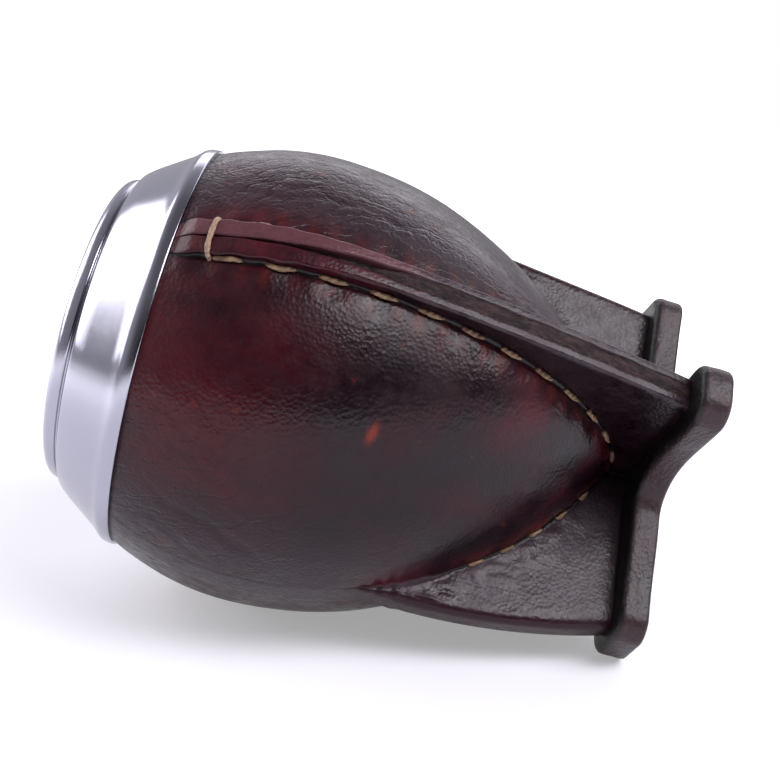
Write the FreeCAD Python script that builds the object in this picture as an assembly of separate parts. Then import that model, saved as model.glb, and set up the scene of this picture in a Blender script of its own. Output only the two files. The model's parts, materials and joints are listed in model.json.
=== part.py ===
import FreeCAD, Part
import math
import os

# A leather-covered mate gourd lying on its side: metal rim, gourd, leather cover with four fins,
# star-shaped sole, the core of the seam fin and the thread of each fin. Sizes are in millimetres and degrees.
# The cup is drawn upright, with heights up its axis from the underside of the sole, and laid down at the end.

# Outside of the leather body: radius at each height, joined by arcs that start at the belly
BELLY = (42.5, 71.5)                            # (radius, height) of the widest place
COLLAR = (37.3, 94.4)                           # where the leather goes under the metal skirt
FLANK = [(0.8838, 48.0), (0.587, 28.0), (0.2652, 15.0)]      # (share of the belly's radius, height)
TIP_HEIGHT = 8.2                                # lower end of the body
LEATHER = 2.0                                   # thickness of the hide
TUCK = 1.4                                      # leather hidden under the skirt

# Fins
FIN_ANGLES = {"seam": 0.0, "far": 82.0, "back": 179.0, "low": 275.0}
FIN_THICKNESS = 5.6
FIN_ROOT_HEIGHT = 42.0                          # how far up the axis the fins start, inside the hollow
FIN_FOOT_RADIUS = 33.8
FOLD_MIDDLE = (37.9, 27.0)
FOLD_HEAD_HEIGHT = 50.0                         # where a folded fin runs into the belly
FOLD_HEAD_RISE = 0.2
FIN_ROOT_SHARE = 0.6                           # where a fin's top line ends, as a share of its head's radius
FOLD_ROUND = 1.2
SEAM_MIDDLE = (39.3, 32.0)
SEAM_CREST_DROP = 5.0                           # crest of the ridge below the belly's height
SEAM_CREST_RISE = 2.6                           # ridge above the leather there
SEAM_HEAD_RISE = 1.9                            # and near the rim
SEAM_HEAD_GAP = 2.6                             # from the end of the ridge to the skirt
SEAM_SLOT = 0.5                                 # between the two edges of the hide, above the core
SKIN = 1.7                                      # each side of the seam fin beside the core
CORE_TOP_HEIGHT = 58.0
CORE_INSET = 8.5                                # the core's inner edge from the axis

# Sole
SOLE_THICKNESS = 5.4
ARM_REACH = {"seam": 39.0, "far": 36.4, "back": 36.4, "low": 36.4}
ARM_HALF_WIDTH = {"seam": 5.7, "far": 7.3, "back": 7.3, "low": 7.3}
ARM_ROOT_HALF_WIDTH = {"seam": 5.5, "far": 8.3, "back": 8.3, "low": 8.8}
ARM_SHIFT = {"seam": -1.0, "far": 0.0, "back": 0.0, "low": 0.0}      # of the arm's middle line from the fin's
ARM_TIP_ROUND = 4.4
ARM_ROOT = 18.5                                 # distance from the axis of the arm's inner end
HOLLOW_RADIUS = 15.0                            # from the axis to the hollow between two arms
SOLE_BEVEL = 0.7

# Metal rim
SHEET = 1.0
SKIRT_PROUD = 0.65                              # outside of the skirt beyond the leather
SKIRT_HEIGHT = 2.1
SHOULDER = (30.4, 105.9)
LIP = (29.0, 109.4)
GROOVE_DEPTH = 0.3
GROOVE_WIDTH = 0.4
BORE_RADIUS = 25.6
RIM_DEPTH = 11.5                                # from the lip down to the end of the bore
SKIRT_ROUND = 1.3
SHOULDER_ROUND = 1.2
LIP_ROUND = 2.6
LIP_EDGE_ROUND = 0.5
UNDER_SHOULDER = 1.0                            # metal thickness below the shoulder

# Gourd
GOURD_WALL = 4.5
NECK_INSET = 0.6                                # the neck's top below the metal under the shoulder
FIT_GAP = 0.1                                   # between the gourd and what it seats in

# Thread
THREAD_WIDTH = 0.9
THREAD_THICKNESS = 0.5
THREAD_LIFT = 0.3                               # from the body's surface to the edge of the thread
STITCH_LENGTH = {"seam": 4.0, "far": 3.8, "back": 3.8, "low": 3.8}
STITCH_TOP = {"seam": 88.5, "far": 36.0, "back": 36.0, "low": 36.0}
STITCH_END_RADIUS = 7.5                         # the last stitch stays this far from the axis

# Resting place
BELLY_FLAT = 0.15                               # depth of the flat where the belly lies on the table
TABLE = 500.0


def vector(x, y, z=0.0):
    return FreeCAD.Vector(x, y, z)


def arc_from(start, centre_direction, end):
    """The arc from a point, with its centre along a given direction, to another point: (centre, radius)."""
    ax, az = end[0] - start[0], end[1] - start[1]
    reach = (ax * ax + az * az) / (2.0 * (ax * centre_direction[0] + az * centre_direction[1]))
    centre = (start[0] + centre_direction[0] * reach, start[1] + centre_direction[1] * reach)
    return centre, reach


def body_arcs():
    """Arcs of the body's outline from the tip to the collar: (centre, radius, low point, high point)."""
    centre, radius = arc_from(BELLY, (-1.0, 0.0), COLLAR)
    arcs = [(centre, radius, BELLY, COLLAR)]
    high = BELLY
    direction = (-1.0, 0.0)
    for share, height in FLANK + [(0.0, TIP_HEIGHT)]:
        low = (share * BELLY[0], height)
        centre, radius = arc_from(high, direction, low)
        arcs.insert(0, (centre, radius, low, high))
        direction = ((centre[0] - low[0]) / radius, (centre[1] - low[1]) / radius)
        high = low
    return arcs


def body_radius(height):
    """Radius of the leather body at a height."""
    for centre, radius, low, high in body_arcs():
        if height <= high[1]:
            return centre[0] + math.sqrt(max(0.0, radius ** 2 - (height - centre[1]) ** 2))
    return body_radius(COLLAR[1])


def body_slope(height):
    """Growth of the radius with height."""
    step = 0.01
    return (body_radius(height + step) - body_radius(height - step)) / (2.0 * step)


def flat_point(point):
    """A (radius, height) pair as a point of the drawing plane."""
    return vector(point[0], 0, point[1])


def line_edges(points):
    ends = [flat_point(point) for point in points]
    return [Part.makeLine(a, b) for a, b in zip(ends, ends[1:]) if a != b]


def closed_face(edges):
    return Part.Face(Part.Wire(Part.__sortEdges__(edges)))


def turned(edges):
    """Solid of revolution from the closed outline that the edges make."""
    return closed_face(edges).revolve(vector(0, 0, 0), vector(0, 0, 1), 360)


def inset_point(point, centre, radius, inset):
    share = (radius - inset) / radius
    return centre[0] + (point[0] - centre[0]) * share, centre[1] + (point[1] - centre[1]) * share


def axis_crossing(centre, radius):
    """Where an arc's circle meets the axis, below its centre."""
    return 0.0, centre[1] - math.sqrt(radius ** 2 - centre[0] ** 2)


def turned_body(inset, rise):
    """The body, moved inwards, as one turned solid, carried on straight above the collar by a rise."""
    edges = []
    first = None
    for centre, radius, low, high in body_arcs():
        inner = radius - inset
        start = inset_point(low, centre, radius, inset)
        end = inset_point(high, centre, radius, inset)
        if end[0] <= 0.0:
            continue
        if first is None:
            start = axis_crossing(centre, inner)
            first = start
        middle_angle = 0.5 * (math.atan2(start[1] - centre[1], start[0] - centre[0])
                              + math.atan2(end[1] - centre[1], end[0] - centre[0]))
        middle = (centre[0] + inner * math.cos(middle_angle), centre[1] + inner * math.sin(middle_angle))
        edges.append(Part.Arc(flat_point(start), flat_point(middle), flat_point(end)).toShape())
    top = end
    slope = body_slope(COLLAR[1] - 0.5)
    above = (top[0] + slope * rise, top[1] + rise)
    edges += line_edges([top, above, (0.0, above[1]), first])
    return turned(edges)


def radial_slab(outline, thickness, angle):
    """A flat plate from an outline of edges in the plane of the axis, turned to the angle of its fin."""
    slab = closed_face(outline).extrude(vector(0, thickness, 0))
    slab.translate(vector(0, -0.5 * thickness, 0))
    slab.rotate(vector(0, 0, 0), vector(0, 0, 1), angle)
    return slab


def fin_root(head, foot):
    """The inner sides of a fin's outline, inside the hollow that is cut out later."""
    return line_edges([head, (FIN_ROOT_SHARE * head[0], head[1]), (0.0, FIN_ROOT_HEIGHT), (0.0, foot[1]), foot])


def folded_fin(angle):
    """A fin whose outer edge is a fold: an arc from the sole up to the belly, with rounded corners."""
    head = (body_radius(FOLD_HEAD_HEIGHT) + FOLD_HEAD_RISE, FOLD_HEAD_HEIGHT)
    foot = (FIN_FOOT_RADIUS, SOLE_THICKNESS)
    outline = [Part.Arc(flat_point(foot), flat_point(FOLD_MIDDLE), flat_point(head)).toShape()]
    outline += fin_root(head, foot)
    slab = radial_slab(outline, FIN_THICKNESS, 0.0)
    fold_edges = []
    for edge in slab.Edges:
        on_side = abs(abs(edge.CenterOfMass.y) - 0.5 * FIN_THICKNESS) < 0.01
        if on_side and edge.Curve.TypeId == "Part::GeomCircle":
            fold_edges.append(edge)
    slab = slab.makeFillet(min(FOLD_ROUND, 0.45 * FIN_THICKNESS), fold_edges)
    slab.rotate(vector(0, 0, 0), vector(0, 0, 1), angle)
    return slab


def seam_edges():
    """Outer edge of the seam fin from the sole to the rim, as two arcs, and its points."""
    foot = (FIN_FOOT_RADIUS, SOLE_THICKNESS)
    crest_height = BELLY[1] - SEAM_CREST_DROP
    head_height = COLLAR[1] - SEAM_HEAD_GAP
    crest = (body_radius(crest_height) + SEAM_CREST_RISE, crest_height)
    head = (body_radius(head_height) + SEAM_HEAD_RISE, head_height)
    shoulder_height = 0.5 * (crest_height + head_height)
    rise = 0.5 * (SEAM_CREST_RISE + SEAM_HEAD_RISE)
    shoulder = (body_radius(shoulder_height) + rise, shoulder_height)
    lower = Part.Arc(flat_point(foot), flat_point(SEAM_MIDDLE), flat_point(crest)).toShape()
    upper = Part.Arc(flat_point(crest), flat_point(shoulder), flat_point(head)).toShape()
    return [lower, upper], foot, head


def seam_fin():
    edges, foot, head = seam_edges()
    buried = (COLLAR[0] - 0.5 * LEATHER, COLLAR[1])
    edges += line_edges([head, buried]) + fin_root(buried, foot)
    return radial_slab(edges, FIN_THICKNESS, FIN_ANGLES["seam"])


def seam_layer(thickness, low, high):
    """A layer in the middle of the seam fin, flush with its edge, between two heights."""
    edges, foot, head = seam_edges()
    edges += line_edges([head, (CORE_INSET, head[1]), (CORE_INSET, foot[1]), foot])
    layer = radial_slab(edges, thickness, FIN_ANGLES["seam"])
    reach = 2.0 * BELLY[0]
    band = Part.makeBox(2.0 * reach, 2.0 * reach, high - low, vector(-reach, -reach, low))
    return layer.common(band)


def seam_core(thread_shape):
    """Rough leather layer between the two skins of the seam fin."""
    core = seam_layer(FIN_THICKNESS - 2.0 * SKIN, SOLE_THICKNESS, CORE_TOP_HEIGHT)
    return core.cut(turned_body(0.0, 0.0)).cut(thread_shape)


def cover(core, threads):
    """The hide: body and four fins in one piece, hollow, slotted along the seam and for the threads."""
    fins = [folded_fin(FIN_ANGLES[name]) for name in FIN_ANGLES if name != "seam"]
    skin = turned_body(0.0, TUCK).multiFuse([seam_fin()] + fins)
    hollow = turned_body(LEATHER, 4.0 * TUCK)
    slot = Part.makeBox(2.0 * BELLY[0], SEAM_SLOT, LIP[1] - CORE_TOP_HEIGHT,
                        vector(0, -0.5 * SEAM_SLOT, CORE_TOP_HEIGHT))
    slot.rotate(vector(0, 0, 0), vector(0, 0, 1), FIN_ANGLES["seam"])
    return skin.cut(hollow).cut(slot).cut([core] + threads).removeSplitter()


def arm_frame(name):
    """Directions along and across an arm of the sole, and the start of its middle line beside the axis."""
    rad = math.radians(FIN_ANGLES[name])
    along = vector(math.cos(rad), math.sin(rad))
    across = vector(-along.y, along.x)
    return along, across, across * ARM_SHIFT[name]


def corner_centre(name, side):
    """Centre of the rounding of an arm's corner."""
    along, across, start = arm_frame(name)
    inner = ARM_HALF_WIDTH[name] - ARM_TIP_ROUND
    return start + along * (ARM_REACH[name] - ARM_TIP_ROUND) + across * (side * inner)


def arm_side(name, side):
    """The outer and the inner end of an arm's straight-going side."""
    along, across, start = arm_frame(name)
    outer = corner_centre(name, side) + across * (side * ARM_TIP_ROUND)
    inner = start + along * ARM_ROOT + across * (side * ARM_ROOT_HALF_WIDTH[name])
    return outer, inner


def arm_tip_edges(name):
    """The end of an arm: a corner arc, a straight end and the other corner arc."""
    along, across, _ = arm_frame(name)
    diagonal = ARM_TIP_ROUND * math.sqrt(0.5)
    edges = []
    ends = []
    for side in (-1.0, 1.0):
        centre = corner_centre(name, side)
        corner = centre + across * (side * ARM_TIP_ROUND)
        end = centre + along * ARM_TIP_ROUND
        edges.append(Part.Arc(corner, centre + (along + across * side) * diagonal, end).toShape())
        ends.append(end)
    edges.append(Part.makeLine(ends[0], ends[1]))
    return edges


def hollow_edge(name, follower):
    """The curved side between two arms, through the inner end of each and the hollow in the middle."""
    outer, inner = arm_side(name, 1.0)
    next_outer, next_inner = arm_side(follower, -1.0)
    turn = (FIN_ANGLES[follower] - FIN_ANGLES[name]) % 360.0
    half = math.radians(FIN_ANGLES[name] + 0.5 * turn)
    hollow = vector(HOLLOW_RADIUS * math.cos(half), HOLLOW_RADIUS * math.sin(half))
    curve = Part.BSplineCurve()
    curve.interpolate(Points=[outer, inner, hollow, next_inner, next_outer],
                      InitialTangent=arm_frame(name)[0] * -1.0, FinalTangent=arm_frame(follower)[0])
    return curve.toShape()


def sole():
    """Thick star with rounded arms and hollow sides, bevelled where it meets the fins."""
    names = list(FIN_ANGLES)
    edges = []
    for place, name in enumerate(names):
        edges += arm_tip_edges(name)
        edges.append(hollow_edge(name, names[(place + 1) % len(names)]))
    plate = closed_face(edges).extrude(vector(0, 0, SOLE_THICKNESS))
    upper = [edge for edge in plate.Edges if abs(edge.CenterOfMass.z - SOLE_THICKNESS) < 0.01]
    return plate.makeChamfer(SOLE_BEVEL, upper)


def skirt_radius():
    return COLLAR[0] + SKIRT_PROUD


def cone_radius(height):
    """Outer radius of the rim's cone between the skirt and the shoulder."""
    low = COLLAR[1] + SKIRT_HEIGHT
    share = (height - low) / (SHOULDER[1] - low)
    return skirt_radius() + (SHOULDER[0] - skirt_radius()) * share


def rim():
    """Spun metal rim: skirt, cone, rounded shoulder, groove and a beaded lip around the bore."""
    skirt = skirt_radius()
    skirt_top = COLLAR[1] + SKIRT_HEIGHT
    groove = LIP[0] - GROOVE_DEPTH
    groove_top = SHOULDER[1] + GROOVE_WIDTH
    bore_foot = LIP[1] - RIM_DEPTH
    under = SHOULDER[1] - SHEET - UNDER_SHOULDER
    inner_skirt = COLLAR[0] + 0.5 * FIT_GAP
    outline = [(skirt, COLLAR[1]), (skirt, skirt_top), SHOULDER, (groove, SHOULDER[1]), (groove, groove_top),
               (LIP[0], groove_top), LIP, (BORE_RADIUS, LIP[1]), (BORE_RADIUS, bore_foot),
               (BORE_RADIUS + SHEET, bore_foot), (BORE_RADIUS + SHEET, under),
               (cone_radius(under) - SHEET, under), (cone_radius(skirt_top) - SHEET, skirt_top),
               (inner_skirt, COLLAR[1]), (skirt, COLLAR[1])]
    ring = turned(line_edges(outline))
    rounds = [((skirt, skirt_top), SKIRT_ROUND), (SHOULDER, SHOULDER_ROUND),
              (LIP, min(LIP_ROUND, 0.8 * (LIP[1] - groove_top))), ((BORE_RADIUS, LIP[1]), LIP_EDGE_ROUND)]
    for (radius, height), size in rounds:
        found = [edge for edge in ring.Edges if edge.Curve.TypeId == "Part::GeomCircle"
                 and abs(edge.Curve.Radius - radius) < 0.01 and abs(edge.Curve.Center.z - height) < 0.01]
        ring = ring.makeFillet(size, found)
    return ring


def gourd():
    """The gourd shell: hollow, open at the mouth, its neck held between the rim's cone and its bore."""
    inset = LEATHER + FIT_GAP
    solid = turned_body(inset, 0.0)
    foot = COLLAR[1] - inset
    neck_top = SHOULDER[1] - SHEET - UNDER_SHOULDER - NECK_INSET
    low_radius = min(COLLAR[0] - inset, cone_radius(foot) - SHEET - FIT_GAP)
    high_radius = cone_radius(neck_top) - SHEET - FIT_GAP
    neck = turned(line_edges([(0.0, foot - inset), (low_radius, foot - inset), (low_radius, foot),
                              (high_radius, neck_top), (0.0, neck_top), (0.0, foot - inset)]))
    hollow = turned_body(LEATHER + GOURD_WALL, 0.0)
    bore_foot = LIP[1] - RIM_DEPTH - FIT_GAP
    seat = BORE_RADIUS + SHEET + FIT_GAP
    throat = turned(line_edges([(0.0, BELLY[1]), (BORE_RADIUS, BELLY[1]), (BORE_RADIUS, bore_foot),
                                (seat, bore_foot), (seat, LIP[1]), (0.0, LIP[1]), (0.0, BELLY[1])]))
    return solid.fuse(neck).cut([hollow, throat]).removeSplitter()


def stitch_line(name):
    """Points along the crease beside the body, one stitch apart, from the top down towards the axis."""
    offset = THREAD_LIFT + 0.5 * THREAD_WIDTH
    step = 0.05
    height = STITCH_TOP[name]
    points = []
    travelled = STITCH_LENGTH[name]
    before = None
    while height > TIP_HEIGHT + 10.0 * step:
        slope = body_slope(height)
        length = math.hypot(1.0, slope)
        place = (body_radius(height) + offset / length, height - offset * slope / length)
        if place[0] < STITCH_END_RADIUS:
            break
        if before:
            travelled += math.hypot(place[0] - before[0], place[1] - before[1])
        if travelled >= STITCH_LENGTH[name]:
            points.append(place)
            travelled = 0.0
        before = place
        height -= step
    return points


def thread_bar(start, end, low, high):
    """A bar with its length in the plane of the fin, its thickness across the fin from low to high."""
    along = vector(end[0] - start[0], 0, end[1] - start[1])
    side = vector(along.z, 0, -along.x)
    side.normalize()
    side = side * (0.5 * THREAD_WIDTH)
    a = vector(start[0], low, start[1])
    b = vector(end[0], low, end[1])
    return Part.Face(Part.makePolygon([a + side, b + side, b - side, a - side, a + side])).extrude(
        vector(0, high - low, 0))


def first_loop(start, half, outside):
    """The first stitch, which goes over the top of the seam."""
    radius, height = start
    reach = 0.5 * THREAD_WIDTH
    foot = radius - reach
    top = body_radius(height) + SEAM_HEAD_RISE + 2.0 * THREAD_THICKNESS
    legs = [Part.makeBox(top - foot, outside - half, THREAD_WIDTH, vector(foot, low, height - reach))
            for low in (half, -outside)]
    bridge = Part.makeBox(THREAD_THICKNESS, 2.0 * outside, THREAD_WIDTH,
                          vector(top - THREAD_THICKNESS, -outside, height - reach))
    return legs + [bridge]


def thread(name):
    """One thread that goes in and out through a fin: a flat stitch on one side, then one on the other."""
    points = stitch_line(name)
    half = 0.5 * FIN_THICKNESS
    outside = half + THREAD_THICKNESS
    reach = 0.5 * THREAD_THICKNESS
    pieces = []
    for place, (start, end) in enumerate(zip(points, points[1:])):
        span = math.hypot(end[0] - start[0], end[1] - start[1])
        step = (reach * (end[0] - start[0]) / span, reach * (end[1] - start[1]) / span)
        before = (start[0] - step[0], start[1] - step[1])
        after = (start[0] + step[0], start[1] + step[1])
        beyond = (end[0] + step[0], end[1] + step[1])
        low, high = (half, outside) if place % 2 else (-outside, -half)
        pieces.append(thread_bar(before, beyond, low, high))
        if place:
            pieces.append(thread_bar(before, after, -outside, outside))
    if name == "seam":
        pieces += first_loop(points[0], half, outside)
    whole = pieces[0].multiFuse(pieces[1:]).removeSplitter()
    whole.rotate(vector(0, 0, 0), vector(0, 0, 1), FIN_ANGLES[name])
    return whole


def lowest_of_arm(name, roll):
    """Lowest place of an arm's tip, when the direction at the roll angle points up."""
    up = vector(math.cos(math.radians(roll)), math.sin(math.radians(roll)))
    return min(corner_centre(name, side).dot(up) for side in (-1.0, 1.0)) - ARM_TIP_ROUND


def halved(low, high, is_below):
    """The place between two values where a test changes from true to false."""
    for _ in range(60):
        middle = 0.5 * (low + high)
        if is_below(middle):
            low = middle
        else:
            high = middle
    return 0.5 * (low + high)


def lying_placement():
    """From the upright cup to the lying one: mouth towards -X, belly and two arms on z = 0."""
    roll = halved(20.0, 70.0, lambda angle: lowest_of_arm("back", angle) < lowest_of_arm("low", angle))
    arm = lowest_of_arm("back", roll)
    heights = [BELLY[1] + 0.1 * step for step in range(-150, 60)]

    def belly(tilt):
        rad = math.radians(tilt)
        return min(z * math.sin(rad) - body_radius(z) * math.cos(rad) for z in heights) + BELLY_FLAT

    tilt = halved(0.0, 40.0, lambda angle: belly(angle) < arm * math.cos(math.radians(angle)))
    turn = FreeCAD.Rotation(vector(0, 0, 1), -roll)
    lean = FreeCAD.Rotation(vector(0, 1, 0), tilt - 90.0)
    print("roll", round(roll, 4), "tilt", round(tilt, 4))
    return FreeCAD.Placement(vector(0, 0, -arm * math.cos(math.radians(tilt))), lean.multiply(turn))


def main():
    os.makedirs("parts", exist_ok=True)
    threads = {name: thread(name) for name in FIN_ANGLES}
    core = seam_core(threads["seam"])
    shapes = {"rim": rim(), "gourd": gourd(), "cover": cover(core, list(threads.values())),
              "seam_core": core, "sole": sole()}
    for name, shape in threads.items():
        shapes["thread_" + name] = shape
    placement = lying_placement()
    under_table = Part.makeBox(TABLE, TABLE, TABLE, vector(-0.5 * TABLE, -0.5 * TABLE, -TABLE))
    box = FreeCAD.BoundBox()
    for name, shape in shapes.items():
        shape.Placement = placement.multiply(shape.Placement)
        if name == "cover":
            shapes[name] = shape.cut(under_table)
        box.add(shapes[name].optimalBoundingBox(False, False))
    middle = vector(-0.5 * (box.XMin + box.XMax), -0.5 * (box.YMin + box.YMax), 0)
    print("centre of the sole's underside", placement.Base + middle)
    for name, shape in shapes.items():
        shape.translate(middle)
        shape.exportStep("parts/" + name + ".step")
        print(name, len(shape.Solids), "solid, volume", round(shape.Volume), "valid", shape.isValid())


main()
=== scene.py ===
import bpy
import json
import math
import random
import numpy as np
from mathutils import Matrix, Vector, noise


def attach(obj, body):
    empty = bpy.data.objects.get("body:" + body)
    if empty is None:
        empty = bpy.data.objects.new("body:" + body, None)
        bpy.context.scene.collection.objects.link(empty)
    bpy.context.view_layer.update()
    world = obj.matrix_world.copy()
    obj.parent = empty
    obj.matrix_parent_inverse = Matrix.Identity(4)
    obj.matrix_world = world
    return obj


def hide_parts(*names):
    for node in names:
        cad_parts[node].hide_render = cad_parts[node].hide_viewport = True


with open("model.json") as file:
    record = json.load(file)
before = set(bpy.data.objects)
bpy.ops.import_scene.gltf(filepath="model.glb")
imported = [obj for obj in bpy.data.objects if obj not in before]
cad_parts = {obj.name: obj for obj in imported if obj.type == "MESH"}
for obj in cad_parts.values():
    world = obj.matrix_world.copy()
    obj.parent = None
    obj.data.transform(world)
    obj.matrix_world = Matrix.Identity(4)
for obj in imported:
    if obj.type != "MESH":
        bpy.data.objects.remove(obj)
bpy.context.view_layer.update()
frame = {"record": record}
print("frame loaded")

# sizes in mm with the cup upright: heights go up its axis from the underside of the sole
# fins: fullness is how round the body is beside the fin, half is half its thickness, sink how far its edge
# dips midway, open means that it is two raw edges sewn together
cup = {
    "tipHeight": 8.2, "bellyHeight": 71.5, "bellyRadius": 42.5, "collarHeight": 94.4, "collarRadius": 37.3,
    "fullness": 1.2, "panelFullness": 1.45, "tuck": 1.3, "soleThickness": 5.4, "roll": 47.0,
    "fins": [
        {"name": "seam", "fullness": 1.9, "angle": 0.0, "half": 2.8, "sink": 0.0, "open": True},
        {"name": "far", "fullness": 1.25, "angle": 82.0, "half": 2.7, "sink": 2.2, "open": False},
        {"name": "back", "fullness": 1.2, "angle": 179.0, "half": 2.7, "sink": 1.0, "open": False},
        {"name": "low", "fullness": 1.32, "angle": 275.0, "half": 2.8, "sink": 0.0, "open": False},
    ],
    "seamEdge": {"crest": 44.8, "drop": 11.2, "knee": 66.0, "run": 60.7, "bend": 1.3, "ridge": 2.5,
                 "ridgeLoss": 1.4, "ridgeRun": 24.0, "end": 93.6, "fade": 2.2},
    "foldEdge": {"crest": 38.95, "drop": 4.9, "knee": 40.0, "run": 34.0, "sinkRun": 50.0, "end": 58.0,
                 "fade": 8.0, "blend": 0.5},
    "coreRadius": 4.1,
}
names = [fin["name"] for fin in cup["fins"]]
finByName = {fin["name"]: fin for fin in cup["fins"]}

# laid down with the mouth towards -X: the mount gives the place and the tilt
mount = frame["record"]["mounts"][0]
origin = np.array(mount["pos_m"])
tilt = math.asin(-mount["axis"][2])
upDirection = np.array([math.sin(tilt), 0.0, math.cos(tilt)])
sideDirection = np.array([0.0, -1.0, 0.0])
axisDirection = np.array([-math.cos(tilt), 0.0, math.sin(tilt)])


# upright mm to metres in the frame
def toWorld(points):
    p = np.asarray(points, float)
    roll = math.radians(cup["roll"])
    up = p[..., 0] * math.cos(roll) + p[..., 1] * math.sin(roll)
    side = p[..., 0] * math.sin(roll) - p[..., 1] * math.cos(roll)
    out = up[..., None] * upDirection + side[..., None] * sideDirection + p[..., 2, None] * axisDirection
    return origin + out / 1000.0


def bodyRadius(z, fullness=None):
    low = np.clip((z - cup["tipHeight"]) / (cup["bellyHeight"] - cup["tipHeight"]), 0.0, 1.0)
    high = np.clip((z - cup["bellyHeight"]) / (cup["collarHeight"] - cup["bellyHeight"]), 0.0, 1.3)
    lower = cup["bellyRadius"] * (1.0 - (1.0 - low) ** 2) ** (1.0 / (fullness or cup["fullness"]))
    return lower - (cup["bellyRadius"] - cup["collarRadius"]) * high ** 2


# body radius, kept clear of the axis where the fins meet below the tip
def wallRadius(z, fullness=None):
    return (bodyRadius(z, fullness) ** 4 + cup["coreRadius"] ** 4) ** 0.25


def finRadius(fin, z):
    body = wallRadius(z, fin["fullness"])
    if fin["open"]:
        line = cup["seamEdge"]
        below = np.clip((line["knee"] - z) / line["run"], 0.0, 1.0)
        above = np.clip((z - line["knee"]) / line["ridgeRun"], 0.0, 1.0)
        lower = line["crest"] - line["drop"] * below ** line["bend"]
        upper = body + line["ridge"] - line["ridgeLoss"] * above
        edge = np.where(z < line["knee"], lower, upper)
        rise = (edge - body) * np.clip((line["end"] - z) / line["fade"], 0.0, 1.0) ** 0.7
    else:
        line = cup["foldEdge"]
        edge = line["crest"] - line["drop"] * np.clip((line["knee"] - z) / line["run"], 0.0, 1.1) ** 2
        edge = edge - fin["sink"] * np.sin(np.pi * np.clip(z / line["sinkRun"], 0.0, 1.0))
        rise = edge - body
        rise = 0.5 * (rise + np.sqrt(rise ** 2 + line["blend"] ** 2))
        rise = rise * np.clip((line["end"] - z) / line["fade"], 0.0, 1.0)
    return body + np.maximum(rise, 0.02)


def smoothStep(low, high, value):
    t = np.clip((value - low) / (high - low), 0.0, 1.0)
    return t * t * (3.0 - 2.0 * t)


# smooth noise from -1 to 1 at upright points in mm
def noiseAt(points, scale, seed=0.0, stretch=(1.0, 1.0, 1.0)):
    flat = np.asarray(points, float).reshape(-1, 3) * np.array(stretch) / scale + seed
    values = np.array([noise.noise(Vector(p)) for p in flat])
    return values.reshape(np.asarray(points).shape[:-1])


# vertices are upright mm, attributes have one value for each vertex
def makeMesh(name, vertices, faces, attributes=None):
    mesh = bpy.data.meshes.new(name)
    mesh.from_pydata(toWorld(vertices).tolist(), [], faces)
    local = mesh.attributes.new("cupPoint", "FLOAT_VECTOR", "POINT")
    local.data.foreach_set("vector", (np.asarray(vertices, float) / 1000.0).ravel())
    for key, values in (attributes or {}).items():
        layer = mesh.attributes.new(key, "FLOAT", "POINT")
        layer.data.foreach_set("value", np.asarray(values, float).ravel())
    mesh.polygons.foreach_set("use_smooth", [True] * len(mesh.polygons))
    mesh.update()
    piece = bpy.data.objects.new(name, mesh)
    bpy.context.scene.collection.objects.link(piece)
    return piece


def gridFaces(rows, columns, closed=True):
    faces = []
    for k in range(rows - 1):
        for j in range(columns if closed else columns - 1):
            n = (j + 1) % columns
            faces.append([k * columns + j, k * columns + n, (k + 1) * columns + n, (k + 1) * columns + j])
    return faces


def gridNormals(grid):
    along = np.gradient(grid, axis=0)
    around = np.roll(grid, -1, axis=1) - np.roll(grid, 1, axis=1)
    normal = np.cross(around, along)
    return normal / np.maximum(np.linalg.norm(normal, axis=-1, keepdims=True), 1e-9)


# how the cover is cut and sewn: points along its outline, roundings, the seam's two ridges, stitches
leather = {
    "rows": 205, "panelPoints": 42, "sidePoints": 22, "cornerPoints": 6, "filletPoints": 7,
    "foldCorner": 1.5, "rawCorner": 0.45, "fillet": 1.5, "seamFillet": 1.0,
    "ridgeGap": (0.16, 1.15), "ridgeDepth": (1.6, 3.4), "coreTop": 60.0, "lip": 0.35,
    "ridgeHalf": 2.8, "ridgeSwell": 0.55, "ridgeWave": 0.13,
    "seamStitches": 4.0, "foldStitches": 3.6, "seamTop": 87.2, "foldTop": 35.5, "stitchEnd": 6.0,
}


# half width of the seam's two ridges together
def ridgeHalf(z):
    swell = leather["ridgeSwell"] + leather["ridgeWave"] * np.sin(1.25 * z)
    return leather["ridgeHalf"] + swell * smoothStep(58.0, 82.0, z)


# half the gap between the two ridges, wide where the layer between them shows
def ridgeGap(z):
    narrow, wide = leather["ridgeGap"]
    opened = 1.0 - smoothStep(leather["coreTop"] - 8.0, leather["coreTop"] + 26.0, z)
    return narrow + (wide - narrow) * opened + 0.07 * np.sin(0.8 * z)


def cornerArc(a, b, radius, count):
    turns = np.radians(np.linspace(0.0, 90.0, count))
    return [(a + radius * math.cos(t), b + radius * math.sin(t)) for t in turns]


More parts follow.
